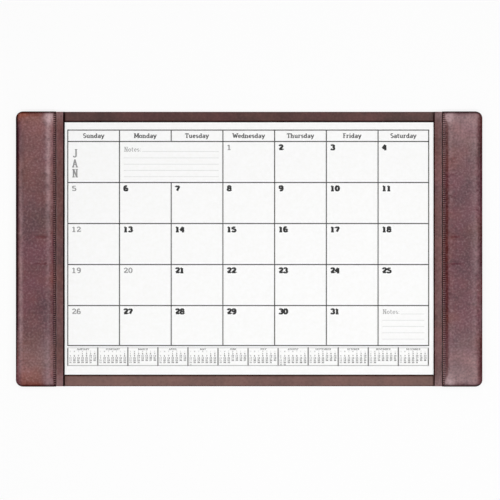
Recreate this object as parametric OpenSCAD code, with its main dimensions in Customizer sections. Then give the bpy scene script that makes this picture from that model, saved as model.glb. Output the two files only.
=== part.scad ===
// Leather desk pad with two padded side rails and a tear-off monthly calendar.
// Millimetres. The origin is at the centre of the underside, +X to the right,
// +Y away from the person at the desk, +Z up.

/* [Pad] */
// Width of the pad, side to side
pad_w = 864; // [640:1:1000]
// Depth of the pad, front to back
pad_d = 510; // [380:1:640]
// Radius of the pad's four corners in plan
corner_r = 13.5; // [6:0.5:16]
// Thickness of the stiff core board
board_t = 3.2; // [2:0.1:6]
// Thickness of the leather on the board and on the rails
leather_t = 1.2; // [0.8:0.1:1.6]
// Width of the leather that is turned in under the board
turn_in = 15; // [8:1:30]
// Rounding of the leather where it goes around the board's edges
edge_r = 1.5; // [0.5:0.1:2]
// Height by which the felt stands below the turned-in leather
felt_proud = 0.3; // [0.1:0.1:1.5]
// Gap between the felt panel and the turned-in leather
felt_gap = 0.5; // [0.2:0.1:2]
// Radius of the felt panel's corners
felt_r = 4; // [1:0.5:12]

/* [Rails] */
// Width of a rail's padded part, from the pad's side to the seam
rail_w = 74; // [60:1:110]
// Width of the spacer strip that carries a rail above the board
spacer_w = 45; // [20:1:50]
// Thickness of the board inside a rail
rail_board_t = 1.2; // [0.8:0.1:3]
// Height of the padding's crown above the rail board, with its leather
crown_h = 8.7; // [6:0.1:16]
// Fullness of the padding's outer shoulder: 2 is an ellipse, more is squarer
shoulder_power = 4; // [2:0.1:6]
// Fullness of the padding's slope down to the stitched margin
slope_power = 3; // [2:0.1:6]
// Length of the rounded shoulder at each end of a rail
end_w = 6; // [4:0.5:16]
// Width of the flat stitched margin beside the seam
margin_w = 3.5; // [2.5:0.1:6]

/* [Flaps] */
// Width of a flap, from its rolled edge at the seam to its free edge
flap_w = 15.7; // [10:0.1:30]
// Thickness of the leather above and below a flap's stiffener
flap_skin_t = 0.6; // [0.4:0.1:1.4]
// Thickness of the stiffener inside a flap
stiffener_t = 0.5; // [0.3:0.1:1.5]
// Gap between a flap's rolled edge and the rail
seam_gap = 0.3; // [0.2:0.1:1]
// Distance from a flap's ends to the pad's front and back edges
flap_inset = 0.5; // [0:0.1:5]
// Room between a flap and the top sheet
flap_clear = 0.4; // [0.3:0.1:2]

/* [Stitching] */
// Distance from one stitch to the next
stitch_pitch = 3.9; // [3:0.1:6]
// Length of one stitch
stitch_len = 2.8; // [1.5:0.1:2.9]
// Width of the thread
thread_w = 0.8; // [0.4:0.1:1.5]
// Height of a stitch above the leather
stitch_h = 0.5; // [0.3:0.1:1]
// Height of the thread where it dips into the leather between stitches
dip_h = 0.15; // [0.1:0.05:0.25]
// Length over which a stitch rises from its dip
stitch_rise = 0.5; // [0.2:0.1:0.7]
// Distance from the seam to the middle of the stitch line
stitch_in = 1.8; // [1:0.1:1.9]
// Distance from the ends of the stitch line to the pad's edges
stitch_inset = 3; // [1.5:0.5:20]

/* [Calendar] */
// Distance from the pad's back edge to the sheets
back_bar = 20; // [5:1:60]
// Distance from the pad's front edge to the sheets
front_bar = 22; // [5:1:60]
// Width of the backing card that shows in front of and behind the sheets
backing_lip = 1.8; // [1:0.1:4]
// Gap between a sheet's side edge and the end of its pocket
pocket_clear = 6; // [1:0.5:12]
// Room over the top sheet inside a pocket
slot_clear = 0.8; // [0.4:0.1:3]
// Thickness of one sheet
sheet_t = 0.12; // [0.08:0.01:0.3]
// Thickness of the backing card under the sheets
backing_t = 1; // [0.5:0.1:2.5]
// Thickness of the gum that binds the sheets along their back edge
gum_t = 0.4; // [0.2:0.1:1]

/* [Hidden] */
$fn = 64;
months = ["january", "february", "march", "april", "may", "june", "july",
    "august", "september", "october", "november", "december"];

// Heights of the layers, from the desk up
z_leather = felt_proud;
z_board = z_leather + leather_t;
z_base = z_board + board_t;
z_sheets = z_base + leather_t;
stack_h = backing_t + len(months) * sheet_t;
z_slot = z_sheets + stack_h + slot_clear;
z_pad = z_slot + rail_board_t;
z_margin = z_pad + leather_t;
z_crown = z_pad + crown_h;

// Rail: distances run inward from the pad's side
foot_u = rail_w - margin_w;
mid_u = foot_u / 2;
half_d = pad_d / 2;
arc_steps = 10;
// The end shoulders start this far above the crown, clear of its top line
end_over = 0.15;

// Flap: its rolled edge is a half round about the line that it bends on
flap_t = 2 * flap_skin_t + stiffener_t;
flap_len = pad_d - 2 * flap_inset;
hinge_u = rail_w + seam_gap + flap_t / 2;
tip_u = rail_w + seam_gap + flap_w - flap_t / 2;
z_hinge = z_sheets + stack_h + flap_clear + flap_t / 2;

// Calendar
sheet_w = pad_w - 2 * (spacer_w + pocket_clear);
sheet_d = pad_d - back_bar - front_bar;
sheet_y = (front_bar - back_bar) / 2;

// A margin by which a cut runs past the face that it opens
past = 5;

rail_leather_colour = "#71504f";
base_leather_colour = "#5f423e";
flap_leather_colour = "#6c4a49";
thread_colour = "#83605e";
foam_colour = "#d9d3c3";
board_colour = "#8a6a48";
card_colour = "#9b968c";
backing_colour = "#2a2426";
felt_colour = "#33282a";
paper_colour = "#fbfbfa";
gum_colour = "#221c1d";

function signed_pow(v, e) = sign(v) * pow(abs(v), e);

// A quarter of an ellipse, or with a power over 2 of a fuller curve, about a centre
function quarter(centre, radii, from, to, power = 2) = [
    for (i = [0:arc_steps])
        let (a = from + (to - from) * i / arc_steps)
        centre + [radii.x * signed_pow(cos(a), 2 / power), radii.y * signed_pow(sin(a), 2 / power)]
];

function tail(list) = [for (i = [1:len(list) - 1]) list[i]];

// The padding's top line from the outer side to the foot of its slope, t under the leather's face
function crown_line(t) = concat(
    quarter([mid_u, z_pad], [mid_u - t, crown_h - t], 180, 90, shoulder_power),
    tail(quarter([mid_u, z_margin], [mid_u - t, crown_h - leather_t - t], 90, 0, slope_power)));

// Section of a whole rail as distance from the side and height
rail_section = concat(
    [[rail_w, z_margin], [rail_w, z_leather]],
    quarter([edge_r, z_leather + edge_r], [edge_r, edge_r], 270, 180),
    crown_line(0));

// Section of the room inside a rail's leather
rail_room = concat(
    [[foot_u - leather_t, z_board], [leather_t, z_board]],
    crown_line(leather_t));

// Side view of a rail with rounded ends, t under the leather's face
function end_line(t) = concat(
    quarter([end_w - half_d, z_pad], [end_w - t, crown_h + end_over - t], 180, 90),
    quarter([half_d - end_w, z_pad], [end_w - t, crown_h + end_over - t], 90, 0));
rail_ends = concat(
    end_line(0),
    quarter([half_d - edge_r, z_leather + edge_r], [edge_r, edge_r], 360, 270),
    quarter([edge_r - half_d, z_leather + edge_r], [edge_r, edge_r], 270, 180));
room_ends = concat(
    end_line(leather_t),
    [[half_d - leather_t, z_board], [leather_t - half_d, z_board]]);

// A row of stitches in side view: flat runs of thread that dip between stitches
stitch_count = floor((pad_d - 2 * stitch_inset - stitch_len) / stitch_pitch) + 1;
stitch_row_l = (stitch_count - 1) * stitch_pitch + stitch_len;
stitch_line = concat(
    [for (i = [0:stitch_count - 1])
        let (y = i * stitch_pitch - stitch_row_l / 2)
        each [[y, dip_h], [y + stitch_rise, stitch_h],
            [y + stitch_len - stitch_rise, stitch_h], [y + stitch_len, dip_h]]],
    [[stitch_row_l / 2, 0], [-stitch_row_l / 2, 0]]);

module rounded_rect(w, d, r) {
    square([w - 2 * r, d], center = true);
    square([w, d - 2 * r], center = true);
    for (x = [-1, 1], y = [-1, 1])
        translate([x * (w / 2 - r), y * (d / 2 - r)])
            circle(r);
}

// The pad's outline in plan, t inside the leather's face
module pad_outline(t) {
    rounded_rect(pad_w - 2 * t, pad_d - 2 * t, corner_r - t);
}

// Draws the right-hand piece, or its mirror image on the left
module on_side(side) {
    mirror([side == "left" ? 1 : 0, 0, 0])
        children();
}

// Extrudes an outline of distance from the right side and height along the rail
module along_rail(length) {
    translate([pad_w / 2, 0, 0])
        mirror([1, 0, 0])
            rotate([90, 0, 0])
                linear_extrude(length, center = true)
                    children();
}

// Extrudes an outline of depth and height across the pad
module across_pad(width) {
    rotate([90, 0, 90])
        linear_extrude(width, center = true)
            children();
}

// A block along the right rail, from one distance and height to another
module rail_block(u0, u1, z0, z1, length) {
    along_rail(length)
        translate([u0, z0])
            square([u1 - u0, z1 - z0]);
}

// A flat plate inside a rail's leather, out to the distance u
module rail_plate(u, z0, z1) {
    translate([0, 0, z0])
        linear_extrude(z1 - z0)
            intersection() {
                pad_outline(leather_t);
                translate([pad_w / 2 - u, -half_d])
                    square([u, pad_d]);
            }
}

// A rail's padded form, rounded along its top, at its ends and at the pad's corners
module rail_form(section, ends, t) {
    intersection() {
        along_rail(pad_d)
            polygon(section);
        across_pad(pad_w)
            polygon(ends);
        linear_extrude(z_crown + past)
            pad_outline(t);
    }
}

module rail_inside() {
    rail_form(rail_room, room_ends, leather_t);
}

module core_board() {
    color(board_colour)
        translate([0, 0, z_board])
            linear_extrude(board_t)
                pad_outline(leather_t);
}

// Leather over the board, around its front and back edges and turned in below
module base_leather() {
    color(base_leather_colour)
        across_pad(pad_w - 2 * spacer_w)
            difference() {
                translate([0, (z_leather + z_sheets) / 2])
                    rounded_rect(pad_d, z_sheets - z_leather, edge_r);
                translate([leather_t - half_d, z_board])
                    square([pad_d - 2 * leather_t, board_t]);
                translate([turn_in - half_d, z_leather - past])
                    square([pad_d - 2 * turn_in, leather_t + past]);
            }
}

module felt_backing() {
    edge = turn_in + felt_gap;
    color(felt_colour)
        linear_extrude(z_board)
            rounded_rect(pad_w - 2 * edge, pad_d - 2 * edge, felt_r);
}

module spacer(side) {
    color(card_colour)
        on_side(side)
            rail_plate(spacer_w, z_base, z_slot);
}

module rail_board(side) {
    color(card_colour)
        on_side(side)
            rail_plate(rail_w, z_slot, z_pad);
}

module rail_foam(side) {
    color(foam_colour)
        on_side(side)
            difference() {
                rail_inside();
                rail_block(-past, rail_w + past, -past, z_pad, pad_d + past);
            }
}

// Leather over the padding, around the rail's side and ends, and turned in under the board
module rail_cover(side) {
    color(rail_leather_colour)
        on_side(side)
            difference() {
                rail_form(rail_section, rail_ends, 0);
                rail_inside();
                rail_plate(rail_w + past, z_slot, z_pad);
                rail_block(spacer_w, rail_w + past, -past, z_slot, pad_d + past);
                rail_block(turn_in, spacer_w + past, -past, z_board, pad_d - 2 * turn_in);
            }
}

module seam_thread(side) {
    color(thread_colour)
        on_side(side)
            translate([pad_w / 2 - rail_w + stitch_in, 0, z_margin])
                across_pad(thread_w)
                    polygon(stitch_line);
}

// Leather strip folded around its stiffener, with a rolled edge at the seam
module flap_leather(side) {
    color(flap_leather_colour)
        on_side(side)
            difference() {
                along_rail(flap_len) {
                    translate([hinge_u, z_hinge - flap_t / 2])
                        square([tip_u - hinge_u, flap_t]);
                    for (u = [hinge_u, tip_u])
                        translate([u, z_hinge])
                            circle(flap_t / 2);
                }
                flap_core();
            }
}

module flap_core() {
    rail_block(hinge_u, tip_u, z_hinge - stiffener_t / 2, z_hinge + stiffener_t / 2,
        flap_len - 2 * flap_skin_t);
}

module flap_stiffener(side) {
    color(card_colour)
        on_side(side)
            flap_core();
}

// A flat layer of the calendar, deeper than the sheets by a lip at the front and back
module calendar_layer(z, t, lip = 0) {
    translate([-sheet_w / 2, sheet_y - sheet_d / 2 - lip, z])
        cube([sheet_w, sheet_d + 2 * lip, t]);
}

module calendar_backing() {
    color(backing_colour)
        calendar_layer(z_sheets, backing_t, backing_lip);
}

// The gum stands on the backing card, against the sheets' back edges
module calendar_gum() {
    color(gum_colour)
        translate([-sheet_w / 2, sheet_y + sheet_d / 2, z_sheets + backing_t])
            cube([sheet_w, gum_t, stack_h - backing_t]);
}

// The first month lies on top
module month_sheet(month) {
    color(paper_colour)
        calendar_layer(z_sheets + stack_h - (month + 1) * sheet_t, sheet_t);
}

core_board();
base_leather();
felt_backing();
for (side = ["left", "right"]) {
    spacer(side);
    rail_board(side);
    rail_foam(side);
    rail_cover(side);
    seam_thread(side);
    flap_leather(side);
    flap_stiffener(side);
}
calendar_backing();
calendar_gum();
for (i = [0:len(months) - 1])
    month_sheet(i);
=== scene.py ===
"""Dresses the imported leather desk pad: padded rails, stitching, flaps, felt and the printed calendar.

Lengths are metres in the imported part's frame: +X to the right, +Y away from the person at the desk, +Z up.
"""

import math
import random

import bmesh
import bpy
import numpy as np
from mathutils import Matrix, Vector, noise


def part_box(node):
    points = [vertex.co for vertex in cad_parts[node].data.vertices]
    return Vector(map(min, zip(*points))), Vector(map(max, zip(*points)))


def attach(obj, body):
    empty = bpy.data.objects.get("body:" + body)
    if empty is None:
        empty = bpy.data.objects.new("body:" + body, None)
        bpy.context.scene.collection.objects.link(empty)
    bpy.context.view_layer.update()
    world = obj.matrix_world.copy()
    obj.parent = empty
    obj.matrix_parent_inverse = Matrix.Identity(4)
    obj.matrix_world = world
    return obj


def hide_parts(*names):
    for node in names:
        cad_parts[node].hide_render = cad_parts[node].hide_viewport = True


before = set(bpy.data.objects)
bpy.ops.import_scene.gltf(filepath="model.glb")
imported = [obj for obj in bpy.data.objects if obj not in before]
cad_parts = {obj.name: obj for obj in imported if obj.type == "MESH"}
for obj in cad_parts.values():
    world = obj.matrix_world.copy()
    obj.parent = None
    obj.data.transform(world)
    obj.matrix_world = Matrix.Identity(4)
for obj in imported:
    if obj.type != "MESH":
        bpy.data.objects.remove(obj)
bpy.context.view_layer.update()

MM = 0.001

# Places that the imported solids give, on the right-hand side
COVER_LO, COVER_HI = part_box("right_rail_cover")
RAIL_BOARD_LO, RAIL_BOARD_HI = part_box("right_rail_board")
CORE_LO, CORE_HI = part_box("core_board")
THREAD_LO, THREAD_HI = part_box("right_seam_thread")
FLAP_LO, FLAP_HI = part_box("right_flap_leather")
BASE_LO, BASE_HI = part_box("base_leather")
FELT_LO, FELT_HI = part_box("felt_backing")
SIDE_X = COVER_HI.x
HALF_D = COVER_HI.y
RAIL_W = SIDE_X - COVER_LO.x
SPACER_W = SIDE_X - BASE_HI.x
Z_LEATHER = COVER_LO.z
Z_BOARD = CORE_LO.z
Z_SLOT = RAIL_BOARD_LO.z
Z_PAD = RAIL_BOARD_HI.z
Z_MARGIN = THREAD_LO.z
LEATHER_T = Z_MARGIN - Z_PAD
CROWN_H = COVER_HI.z - Z_PAD

# Rounding and turn-in of the leather, as on the solids
CORNER_R = 13.5 * MM
EDGE_R = 1.5 * MM
TURN_IN = 15 * MM

# Shape of the padding: distances u run inward from the pad's side
MARGIN_W = 3.5 * MM
FOOT_U = RAIL_W - MARGIN_W
MID_U = FOOT_U / 2
SHOULDER_POWER = 4
SLOPE_POWER = 3
CORNER_POWER = 8
END_POWER = 2.6
END_W = 6 * MM
LIP_R = 0.8 * MM
# Near the ends the padding fills out towards the seam
CORNER_FILL = 0.6 * MM
CORNER_FILL_L = 26 * MM

# Stitching, as on the solids
STITCH_PITCH = 3.9 * MM
STITCH_LEN = 2.8 * MM
STITCH_COUNT = round((THREAD_HI.y - THREAD_LO.y - STITCH_LEN) / STITCH_PITCH) + 1
STITCH_U = SIDE_X - (THREAD_LO.x + THREAD_HI.x) / 2
THREAD_W = THREAD_HI.x - THREAD_LO.x
STITCH_H = THREAD_HI.z - THREAD_LO.z

# Density of the rail's surface
CLUSTER = 1.8
END_ROWS = 10
ROWS_PER_STITCH = 6
OUTER_COLS = 16
CROWN_COLS = 3
SLOPE_COLS = 16
MARGIN_COLS = 6
LIP_COLS = 3
ARC_STEPS = 4
# The column over the inner edge of the spacer
SPACER_COL = OUTER_COLS + CROWN_COLS

# Padding under pressure
START_FULLNESS = 0.92
SIM_STEP = 5 * MM
SIM_FRAMES = 20
SIM_PRESSURE = 4
SIM_CAP = 1.3 * MM
SIM_SLACK = -0.012

# Relief of the leather
PUCKER_H = 0.22 * MM
PUCKER_W = 11 * MM
DIMPLE_H = 0.3 * MM
WAVE_H = 0.12 * MM
WAVE_L = 17 * MM
RIPPLE_H = 0.05 * MM
RIPPLE_L = 5 * MM

# Waves fade out towards a rail's edges over this distance
CALM_W = 6 * MM
# How far puckers differ from stitch to stitch, and how far they run on into the stitched margin
PUCKER_UNEVEN = 0.6
PUCKER_END = MARGIN_W / 3

SMOOTH_ANGLE = math.radians(38)
# Points closer together than this are joined
MERGE = 1e-7
# Lengths are divided by at least this
TINY = 1e-9
SIDES = {"left": -1, "right": 1}


def linear(code):
    """A colour given as the six hex digits that a screen shows, as linear red, green, blue and alpha."""
    shares = [int(code[i:i + 2], 16) / 255 for i in (0, 2, 4)]
    return [s / 12.92 if s <= 0.04045 else ((s + 0.055) / 1.055) ** 2.4 for s in shares] + [1.0]


def smooth(value, start, end):
    """Rises softly from 0 at start to 1 at end."""
    t = np.clip((value - start) / (end - start), 0, 1)
    return t * t * (3 - 2 * t)


def noise_at(points, length, offset=0.0):
    """Smooth noise from about -1 to 1 whose lumps have the given length."""
    shift = Vector((offset, offset, offset))
    return np.array([noise.noise(Vector(p) / length + shift) for p in points])


# Materials

# The levels of a noise between which most finishes blend two tones
TONE_SPAN = (0.3, 0.7)


class Graph:
    """The nodes of one procedural material."""

    def __init__(self, name):
        self.material = bpy.data.materials.new(name)
        self.material.use_nodes = True
        self.nodes = self.material.node_tree.nodes
        self.links = self.material.node_tree.links
        self.shader = self.nodes["Principled BSDF"]
        self.place = self.add("ShaderNodeTexCoord").outputs["Object"]

    def add(self, kind, sockets=None, **settings):
        """A node with the given settings, and values or links for its input sockets."""
        node = self.nodes.new(kind)
        for key, value in settings.items():
            setattr(node, key, value)
        for key, value in (sockets or {}).items():
            self.feed(node.inputs[key], value)
        return node

    def feed(self, socket, value):
        if isinstance(value, bpy.types.NodeSocket):
            self.links.new(value, socket)
        else:
            socket.default_value = value

    def shade(self, **values):
        """Sets the shader's own sockets, such as Base_Color or Roughness."""
        for key, value in values.items():
            self.feed(self.shader.inputs[key.replace("_", " ")], value)
        return self.material

    def noise(self, length, detail=3.0, offset=(0, 0, 0), stretch=(1, 1, 1)):
        """Noise whose lumps are about the given length in metres."""
        moved = self.add("ShaderNodeMapping", {"Vector": self.place, "Location": offset, "Scale": stretch})
        sockets = {"Vector": moved.outputs[0], "Scale": 1 / length, "Detail": detail}
        return self.add("ShaderNodeTexNoise", sockets).outputs["Fac"]

    def cells(self, length, feature="F1"):
        """Cells of about the given length in metres, by distance."""
        sockets = {"Vector": self.place, "Scale": 1 / length}
        return self.add("ShaderNodeTexVoronoi", sockets, feature=feature).outputs["Distance"]

    def ramp(self, value, *stops):
        """Colours at places along a value."""
        node = self.add("ShaderNodeValToRGB", {"Fac": value})
        elements = node.color_ramp.elements
        while len(elements) < len(stops):
            elements.new(1.0)
        for element, (place, colour) in zip(elements, stops):
            element.position = place
            element.color = colour
        return node.outputs["Color"]

    def tones(self, value, dark, light, span=TONE_SPAN):
        """Two colours, given as hex digits, that blend over a span of a value."""
        return self.ramp(value, *zip(span, (linear(dark), linear(light))))

    def grey(self, value, levels=(0.0, 1.0), span=TONE_SPAN):
        """Two plain levels that blend over a span of a value."""
        return self.ramp(value, *[(place, (level, level, level, 1)) for place, level in zip(span, levels)])

    def mix(self, share, first, second, blend="MIX"):
        sockets = {0: share, 6: first, 7: second}
        return self.add("ShaderNodeMix", sockets, data_type="RGBA", blend_type=blend).outputs[2]

    def math(self, operation, first, second):
        return self.add("ShaderNodeMath", {0: first, 1: second}, operation=operation).outputs[0]

    def attribute(self, name):
        return self.add("ShaderNodeAttribute", attribute_name=name).outputs["Fac"]

    def bump(self, height, distance, strength=1.0, under=None):
        sockets = {"Height": height, "Distance": distance, "Strength": strength}
        if under is not None:
            sockets["Normal"] = under
        return self.add("ShaderNodeBump", sockets).outputs["Normal"]


# Mottled leather: how long its patches, flecks and pebbles are
PATCH_L = 42 * MM
TINT_L = 65 * MM
FLECK_L = 4 * MM
PEBBLE_L = 1.5 * MM
CREASE_L = 9 * MM
PEBBLE_H = 0.16 * MM
CREASE_H = 0.12 * MM
# How far flecks pale or darken the leather at most, and the levels of their noise that do so
FLECK_PALE, FLECK_DARK = 0.2, 0.5
PALE_SPAN, DARK_SPAN = (0.5, 0.75), (0.25, 0.5)
# The levels over which patches, tints and creases blend
PATCH_SPAN, TINT_SPAN, CREASE_SPAN = (0.35, 0.65), (0.38, 0.62), (0.0, 0.12)
# Shifts that set the noises of tint and gloss apart from the others
TINT_SHIFT, GLOSS_SHIFT = (3.1, 0.7, 1.9), (0.4, 2.2, 0.9)
# Roughness of bare leather, from polished to matt, and where painted shade or edge paint darkens it
GLOSS, SHADED_GLOSS = (0.31, 0.43), (0.5, 0.5, 0.5, 1)
# Marks on the points of a leather piece: painted shade with edge paint, painted highlights, and brown tone
# with painted shade on the slopes
SHADE_AND_EDGE_PAINT, PAINTED_HIGHLIGHT, BROWN_AND_SHADE = "shade_and_paint", "painted_highlight", "brown_and_shade"


def leather(name, sheen, flecks, dark, light, tint_dark, tint_light, shade_tone, pale, tan):
    """Aniline-look leather: two mottled tones, flecks and a pebbled grain, with painted highlights, painted
    shade, edge paint and brown tones from marks on its points.
    """
    g = Graph(name)
    patch = g.noise(PATCH_L, detail=5)
    warm = g.tones(patch, dark, light, PATCH_SPAN)
    cool = g.tones(patch, tint_dark, tint_light, PATCH_SPAN)
    tint = g.grey(g.noise(TINT_L, offset=TINT_SHIFT), span=TINT_SPAN)
    body = g.mix(tint, warm, cool)
    # Painted highlights in the pale tone, which the pale flecks share
    body = g.mix(g.attribute(PAINTED_HIGHLIGHT), body, linear(pale))
    body = g.mix(g.attribute(BROWN_AND_SHADE), body, linear(tan))
    fleck = g.noise(FLECK_L)
    body = g.mix(g.grey(fleck, (0.0, FLECK_PALE * flecks), PALE_SPAN), body, linear(pale))
    body = g.mix(1.0, body, g.grey(fleck, (1 - FLECK_DARK * flecks, 1.0), DARK_SPAN), "MULTIPLY")
    # Painted shade, and the flap's edge paint, in the dark tone and with a rougher gloss
    shade_and_paint = g.attribute(SHADE_AND_EDGE_PAINT)
    body = g.mix(shade_and_paint, body, linear(shade_tone))
    crease = g.grey(g.cells(CREASE_L, "DISTANCE_TO_EDGE"), span=CREASE_SPAN)
    relief = g.bump(crease, CREASE_H, strength=0.25)
    relief = g.bump(g.cells(PEBBLE_L, "SMOOTH_F1"), PEBBLE_H, strength=0.3, under=relief)
    gloss = g.grey(g.noise(FLECK_L, detail=2, offset=GLOSS_SHIFT), GLOSS)
    gloss = g.mix(shade_and_paint, gloss, SHADED_GLOSS)
    return g.shade(Base_Color=body, Roughness=gloss, Normal=relief, Specular_IOR_Level=sheen)


# Thread: the scale of its twist and how high it stands, its tones, and the tone of the painted shade where
# it goes down into its holes
TWIST, TWIST_H = 1.1 / MM, 0.08 * MM
THREAD_TONES, THREAD_HOLE_SHADE = ("8a4a42", "d09a8e"), "160404"


def thread_finish(name):
    """Twisted sewing thread."""
    g = Graph(name)
    sockets = {"Vector": g.place, "Scale": TWIST, "Distortion": 1.0}
    turn = g.add("ShaderNodeTexWave", sockets, bands_direction="DIAGONAL").outputs["Fac"]
    body = g.tones(turn, *THREAD_TONES, span=(0.0, 1.0))
    # Painted shade where the thread goes down into its holes
    body = g.mix(g.attribute(SHADE_AND_EDGE_PAINT), body, linear(THREAD_HOLE_SHADE))
    relief = g.bump(turn, TWIST_H, strength=0.5)
    return g.shade(Base_Color=body, Roughness=0.62, Normal=relief, Specular_IOR_Level=0.2)


# Felt: its fibres and brushed patches, how they are drawn out along it, and its tones
FIBRE_L, FIBRE_H, FIBRE_LAY = 0.6 * MM, 0.25 * MM, (1, 0.35, 1)
BRUSH_L, BRUSH_LAY, BRUSH_SHADE = 16 * MM, (1, 0.4, 1), (0.62, 1.0)
FELT_TONES = ("1d1617", "42363a")


def felt_finish(name):
    """Short dense wool fibres."""
    g = Graph(name)
    fibre = g.noise(FIBRE_L, detail=6, stretch=FIBRE_LAY)
    brushed = g.grey(g.noise(BRUSH_L, detail=5, stretch=BRUSH_LAY), BRUSH_SHADE)
    body = g.mix(1.0, g.tones(fibre, *FELT_TONES), brushed, "MULTIPLY")
    relief = g.bump(fibre, FIBRE_H, strength=0.8)
    return g.shade(Base_Color=body, Roughness=0.95, Normal=relief, Sheen_Weight=0.35)


# Paper and ink: their clouds and grain, and how much lighter an ink is where its film is thin
CLOUD_L, GRAIN_L, GRAIN_H = 6 * MM, 0.5 * MM, 0.02 * MM
PAPER_TONES = ("fafaf9", "fefefe")
FILM_L, FILM_SPAN = 1.2 * MM, (0.35, 0.75)
THIN_GAIN, THIN_LIFT = 1.15, 0.004


def paper_finish(name):
    """Uncoated white paper with a faint cloudy formation."""
    g = Graph(name)
    body = g.tones(g.noise(CLOUD_L, detail=5), *PAPER_TONES)
    relief = g.bump(g.noise(GRAIN_L, detail=4), GRAIN_H, strength=0.4)
    return g.shade(Base_Color=body, Roughness=0.8, Normal=relief)


def ink_finish(name, code):
    """Printing ink with a slightly uneven film."""
    g = Graph(name)
    tone = linear(code)
    thin = [min(1.0, c * THIN_GAIN + THIN_LIFT) for c in tone[:3]] + [1.0]
    body = g.ramp(g.noise(FILM_L), *zip(FILM_SPAN, (tone, thin)))
    return g.shade(Base_Color=body, Roughness=0.6)


# Board: how its fibres are drawn out and how high they stand. Gum: its swells and tones
BOARD_LAY, BOARD_GRAIN_H = (1, 2.5, 1), 0.05 * MM
GUM_L, GUM_H, GUM_TONES = 3 * MM, 0.2 * MM, ("0e0b0b", "1c1717")


def board_finish(name, dark, light, fibre_l):
    """Pressed board or card with short fibres."""
    g = Graph(name)
    fibre = g.noise(fibre_l, detail=6, stretch=BOARD_LAY)
    body = g.tones(fibre, dark, light)
    relief = g.bump(fibre, BOARD_GRAIN_H, strength=0.5)
    return g.shade(Base_Color=body, Roughness=0.85, Normal=relief, Specular_IOR_Level=0.1)


def gum_finish(name):
    """Dried padding glue, slightly glossy and uneven, near-black as painted shade along the calendar's back
    edge.
    """
    g = Graph(name)
    swell = g.noise(GUM_L)
    body = g.tones(swell, *GUM_TONES)
    relief = g.bump(swell, GUM_H, strength=0.6)
    return g.shade(Base_Color=body, Roughness=0.45, Normal=relief, Specular_IOR_Level=0.15)


# Each leather's flecks and tones: dark and light, the same tinted, the tone of painted shade and edge paint,
# the tone of painted highlights and pale flecks, and the brown tone, also of the rails' painted slope shade
LEATHERS = {
    "rail_leather": (0.85, "491a1a", "6a2f2d", "4a1b29", "642d3a", "180309", "cfaeb1", "93421f"),
    "flap_leather": (0.8, "4c1f1a", "642e28", "512326", "6a3535", "0c0303", "a08486", "7a4a40"),
    "base_leather": (0.45, "43231d", "55302a", "46211f", "5a302e", "120505", "a07466", "6a4438"),
}
# A copy of each leather with almost no reflection, for the faces that painted shade or edge paint darkens
# most
SHEEN, DULL_SHEEN = 0.32, 0.02
DULL = "_dull"
FINISHES = {
    **{name: leather(name, SHEEN, *tones) for name, tones in LEATHERS.items()},
    **{name + DULL: leather(name + DULL, DULL_SHEEN, *tones) for name, tones in LEATHERS.items()},
    "thread": thread_finish("thread"),
    "felt": felt_finish("felt"),
    "paper": paper_finish("paper"),
    "hardboard": board_finish("hardboard", "6b4d31", "937250", 1.5 * MM),
    "greyboard": board_finish("greyboard", "837e75", "a8a399", 1.0 * MM),
    # The backing card is near-black so that its lip shows as painted shadow along the paper's front and back
    # edges
    "backing_card": board_finish("backing_card", "080505", "140e0f", 1.0 * MM),
    "gum": gum_finish("gum"),
}


# Making pieces


# Faces darkened by painted shade or edge paint more than this have the dull finish
DULL_FROM = 0.3


def dull_darkened_faces(mesh, finish):
    """Gives the faces of a leather piece that painted shade or edge paint darkens most its dull finish."""
    mesh.materials.append(FINISHES[finish + DULL])
    dye = np.zeros(len(mesh.vertices), np.float32)
    mesh.attributes[SHADE_AND_EDGE_PAINT].data.foreach_get("value", dye)
    for face in mesh.polygons:
        if dye[list(face.vertices)].mean() > DULL_FROM:
            face.material_index = 1


def piece(name, points, faces, finish, body, stands_for=(), marks=None):
    """A closed mesh with a finish, riding on a body in place of CAD nodes, with marks on its points."""
    mesh = bpy.data.meshes.new(name)
    mesh.from_pydata([tuple(p) for p in points], [], faces)
    for mark, values in (marks or {}).items():
        data = mesh.attributes.new(mark, "FLOAT", "POINT").data
        data.foreach_set("value", np.asarray(values, np.float32))
    work = bmesh.new()
    work.from_mesh(mesh)
    bmesh.ops.remove_doubles(work, verts=work.verts, dist=MERGE)
    bmesh.ops.recalc_face_normals(work, faces=work.faces)
    work.to_mesh(mesh)
    work.free()
    mesh.shade_smooth()
    mesh.set_sharp_from_angle(angle=SMOOTH_ANGLE)
    mesh.materials.append(FINISHES[finish])
    if finish in LEATHERS:
        dull_darkened_faces(mesh, finish)
    made = bpy.data.objects.new(name, mesh)
    bpy.context.scene.collection.objects.link(made)
    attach(made, body)
    if stands_for:
        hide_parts(*stands_for)
    return made


def grid_faces(rows, cols, first=0, ring=False):
    """Quads of a grid of points in rows, whose last column joins the first where it is a ring."""
    last = cols if ring else cols - 1

    def at(r, c):
        return first + r * cols + c % cols

    return [(at(r, c), at(r, c + 1), at(r + 1, c + 1), at(r + 1, c))
            for r in range(rows - 1) for c in range(last)]


def swept(sections):
    """Points and faces of a closed bar through equal rings of points."""
    rows, cols = len(sections), len(sections[0])
    points = [p for ring in sections for p in ring]
    faces = grid_faces(rows, cols, ring=True)
    faces.append(tuple(range(cols)))
    faces.append(tuple(range((rows - 1) * cols, rows * cols)))
    return points, faces


def arc(centre, radius, start, end, steps=ARC_STEPS):
    """Points on an arc, with angles in degrees."""
    angles = [math.radians(start + (end - start) * i / steps) for i in range(steps + 1)]
    return [(centre[0] + radius * math.cos(a), centre[1] + radius * math.sin(a)) for a in angles]


# Padded rails


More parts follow.
